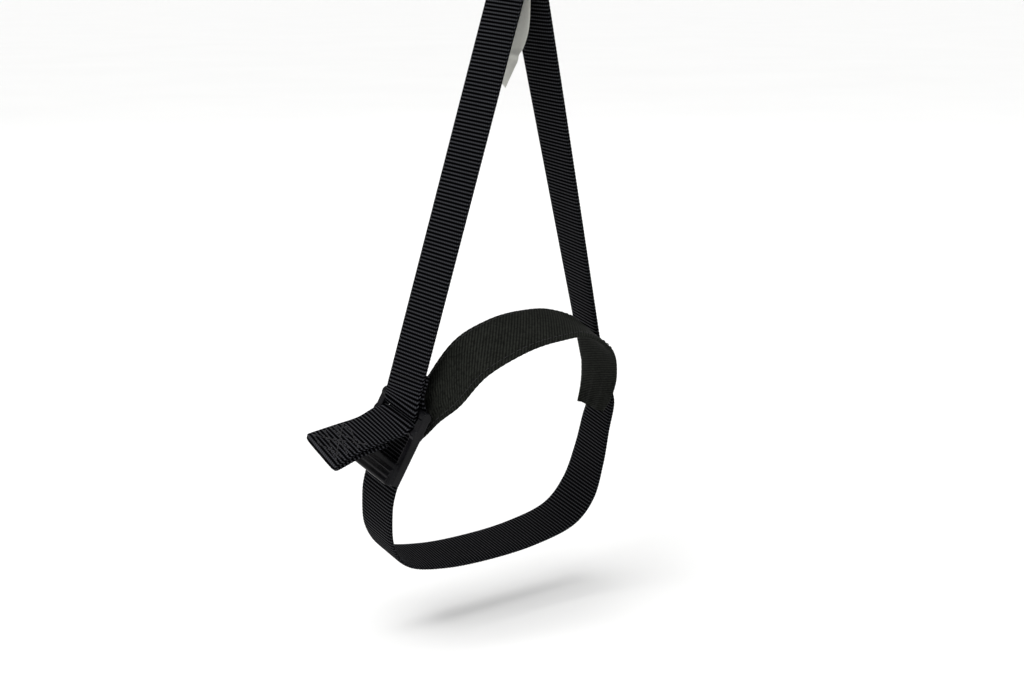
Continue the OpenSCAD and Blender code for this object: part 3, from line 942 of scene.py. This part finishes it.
def make_end_binding(name, phi, direction):
    """Upright tape folded over one end of the cuff at the split."""
    out = around(phi, 1, 0)
    back = vec(-math.cos(phi), math.sin(phi), 0) * direction
    plan = [(58.45, -6), (58.6, -3), (58.5, -0.4), (57.6, 0.7), (56.6, 0.9), (55.6, 0.7), (54.75, -0.4),
            (54.65, -3), (54.8, -6)]
    front, rear = [], []
    for r, t in plan:
        p = out * r + back * t
        front.append(p + vec(0, 0, 1.0))
        rear.append(p + vec(0, 0, CUFF_H - 1.0))
    return strap_piece(name, Strap(front, rear, 0.55, 0.16), BINDING, rib=0.05, pitch=BINDING_PITCH,
                       columns=15, mapper=cuff_place)


finish_piece(make_end_binding("cuff_end_tape_front", CUFF_END, 1), "cuff")
finish_piece(make_end_binding("cuff_end_tape_back", CUFF_START, -1), "cuff")


# ---------------------------------------------------------------- webbing sewn to the cuff


def upright(plan, width, mid_z=CUFF_H / 2):
    """Strap on edge that follows plan points (x, y) round the cuff."""
    front = [vec(x, y, mid_z - width / 2) for x, y in plan]
    rear = [vec(x, y, mid_z + width / 2) for x, y in plan]
    return Strap(front, rear, WEB_T, STEP)


def ring_wrap(side):
    out = around(RING_PHI, 1)
    back = vec(-math.cos(RING_PHI), math.sin(RING_PHI))
    return [out * (RING_R - WRAP_R * math.cos(math.radians(a)))
            + back * side * (RING_HALF - WRAP_R * math.sin(math.radians(a))) for a in range(10, 203, 16)]


def tail_radius(phi_deg):
    return TAIL_MID + (RING_R + WRAP_R - TAIL_MID) * max(0, (110 - phi_deg) / 28) ** 2


def tail_plan(angles):
    return [around(math.radians(a), tail_radius(a)) for a in angles]


chafe_plan = [around(math.radians(a), STRAP_MID) for a in range(34, 67, 4)] + ring_wrap(-1)
chafe_plan += [around(math.radians(a), STRAP_MID + WEB_T + 0.1 + (a - 43) * 0.04)
               for a in range(61, 42, -3)]
chafe = upright(chafe_plan, CLOSURE_W)
piece = strap_piece("chafe_tab_web", chafe, WEBBING, columns=15, mapper=cuff_place)
finish_piece(piece, "cuff", ["chafe_tab"])

main_plan = [around(math.radians(a), STRAP_MID) for a in range(196, 85, -6)] + ring_wrap(1)
main = upright(main_plan, CLOSURE_W)
piece = strap_piece("closure_strap_web", main, WEBBING, columns=15, mapper=cuff_place)
finish_piece(piece, "cuff", ["closure_strap"])

tail = upright([ring_wrap(1)[-1]] + tail_plan(np.linspace(84.7, 152.1, 24)), CLOSURE_W)
piece = strap_piece("closure_tail_web", tail, WEBBING, columns=15, start_mm=main.length,
                    mapper=cuff_place)
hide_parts("closure_tail")
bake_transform(piece)


def sew_box(strap, first, last, half, name, body):
    middle = strap.point((first + last) / 2, 0)
    outward = vec(middle[0], middle[1], 0)
    side = 1 if np.dot(strap.normal((first + last) / 2), outward) > 0 else -1
    rows = stitch_line(box_x(first, last, half), on_strap(strap, side), 3.0, 2.3)
    finish_piece(thread_piece(name, rows, THREAD, mapper=cuff_place), body)


sew_box(chafe, chafe.length - 19, chafe.length - 2.5, CLOSURE_SEW, "chafe_tab_thread", "cuff")
sew_box(main, 2.5, 24, CLOSURE_SEW, "closure_root_thread", "cuff")
sew_box(tail, tail.length - 36, tail.length - 2.5, CLOSURE_SEW, "closure_tail_thread", "closure_tail")


def make_anchor():
    """Folded webbing: up the cuff's front, round the D-ring's bar and back up over itself."""
    chain = APEX_Y - CUFF_BACK
    inner, outer = -SHELL_R - 0.2 - WEB_T / 2, -SHELL_R - 0.25 - 1.5 * WEB_T
    path = [(inner, 47.5), (inner, 30), (inner, 13.5), (inner - 0.9, 8)]
    for a in range(10, 171, 20):
        a = math.radians(a)
        path.append((chain + WRAP_R * math.cos(a), D_RING_Z - WRAP_R * math.sin(a)))
    path += [(outer - 1.7, 8.5), (outer, 15), (outer, 30), (outer, 47.8)]
    front = [vec(WEB_W / 2, y, z) for y, z in path]
    rear = [vec(-WEB_W / 2, y, z) for y, z in path]
    return Strap(front, rear, WEB_T, STEP)


anchor = make_anchor()
piece = strap_piece("anchor_tab_web", anchor, WEBBING, mapper=cuff_place)
finish_piece(piece, "cuff", ["anchor_tab"])
sew_box(anchor, anchor.length - 29, anchor.length - 2, 7.3, "anchor_thread", "cuff")


# ---------------------------------------------------------------- metal parts and tapes


def cast_copy(node, name, voxel, smoothing, body):
    """A softened copy of a CAD part, with rounded edges."""
    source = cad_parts[node]
    piece = bpy.data.objects.new(name, source.data.copy())
    bpy.context.scene.collection.objects.link(piece)
    moulded(piece, voxel, smoothing)
    piece.data.materials.clear()
    piece.data.materials.append(STEEL)
    finish_piece(piece, body, [node])


cast_copy("snap_hook", "snap_hook_cast", 0.22, 5, "hook")
cast_copy("hook_gate", "hook_gate_cast", 0.16, 2, "gate")
cast_copy("swivel_eye", "swivel_eye_cast", 0.24, 3, "swivel")
cast_copy("d_ring", "d_ring_wire", 0.24, 3, "d_ring")
cast_copy("closure_ring", "closure_ring_wire", 0.24, 3, "cuff")

for node, material in (("gate_pin", STEEL), ("hook_patch", HOOK_TAPE), ("loop_patch", LOOP_TAPE)):
    for index in range(len(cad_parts[node].data.materials)):
        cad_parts[node].material_slots[index].material = material


# ---------------------------------------------------------------- floor, light and camera

# below the loop at the full stretch of the elastic
FLOOR_Z = -0.384
FLOOR_HALF = 60.0


def make_floor():
    m, shader = base_material("floor_pale", (0.86, 0.86, 0.855), 0.7, 0.2)
    g = Graph(m, shader)
    grain = g.noise(g.position(), 3.0, 3.0)
    g.link(g.ramp(grain, (0.84, 0.84, 0.835), (0.88, 0.88, 0.875)), shader.inputs["Base Color"])
    corners = [(x * FLOOR_HALF, y * FLOOR_HALF, FLOOR_Z)
               for x, y in ((-1, -1), (1, -1), (1, 1), (-1, 1))]
    floor = new_mesh("floor", corners, [(0, 1, 2, 3)], m, smooth=False)


def area_light(name, location, target, size, power):
    data = bpy.data.lights.new(name, "AREA")
    data.shape = "DISK"
    data.size = size
    data.energy = power
    lamp = bpy.data.objects.new(name, data)
    lamp.location = location
    aim = Vector(target) - Vector(location)
    lamp.rotation_euler = aim.to_track_quat("-Z", "Y").to_euler()
    bpy.context.scene.collection.objects.link(lamp)


make_floor()
loop_centre = place((0, -5, 60))
area_light("key", (-1.3, -0.5, 1.3), loop_centre, 0.8, 9)
area_light("fill", (1.3, -1.2, 0.6), loop_centre, 1.4, 3)
area_light("rim", (0.3, 1.4, 1.0), loop_centre, 1.0, 5)
sun = bpy.data.objects.new("sun", bpy.data.lights.new("sun", "SUN"))
sun.data.energy = 1.8
sun.data.angle = math.radians(40)
sun.rotation_euler = Vector((0.7, 0.35, -1.7)).to_track_quat("-Z", "Y").to_euler()
bpy.context.scene.collection.objects.link(sun)
world = bpy.data.worlds.new("studio")
world.use_nodes = True
background = world.node_tree.nodes["Background"]
background.inputs["Strength"].default_value = 1.0
sky = Graph(world, background)
height = sky.node("ShaderNodeSeparateXYZ")
sky.link(sky.node("ShaderNodeTexCoord").outputs["Generated"], height.inputs[0])
tone = sky.ramp(height.outputs[2], (1.02, 1.02, 1.02), (0.5, 0.5, 0.5), 0.22, 0.7)
sky.link(tone, background.inputs["Color"])
bpy.context.scene.world = world

CAMERA_TURN = math.radians(50.84)
CAMERA_RISE = math.radians(11.79)
CAMERA_RANGE = 641.6
CAMERA_LENS = 61.12
SENSOR = 36.0
AIM_RIGHT, AIM_UP = 4.37, 24.72


def make_camera():
    """Camera on the outer side of the foot, turned towards the toes; it looks down a little."""
    ct, st = math.cos(CAMERA_TURN), math.sin(CAMERA_TURN)
    ce, se = math.cos(CAMERA_RISE), math.sin(CAMERA_RISE)
    back = vec(-ct * ce, -st * ce, se)
    right = unit(np.cross(-back, vec(0, 0, 1)))
    up = np.cross(right, -back)
    location = place(right * AIM_RIGHT + up * AIM_UP + back * CAMERA_RANGE)
    data = bpy.data.cameras.new("camera")
    data.lens = CAMERA_LENS
    data.sensor_width = SENSOR
    data.clip_start = 0.01
    camera = bpy.data.objects.new("camera", data)
    turn = Matrix((right, up, back)).transposed().to_4x4()
    camera.matrix_world = Matrix.Translation(Vector(location)) @ turn
    bpy.context.scene.collection.objects.link(camera)
    bpy.context.scene.camera = camera


make_camera()
bpy.context.scene.view_settings.view_transform = "Standard"
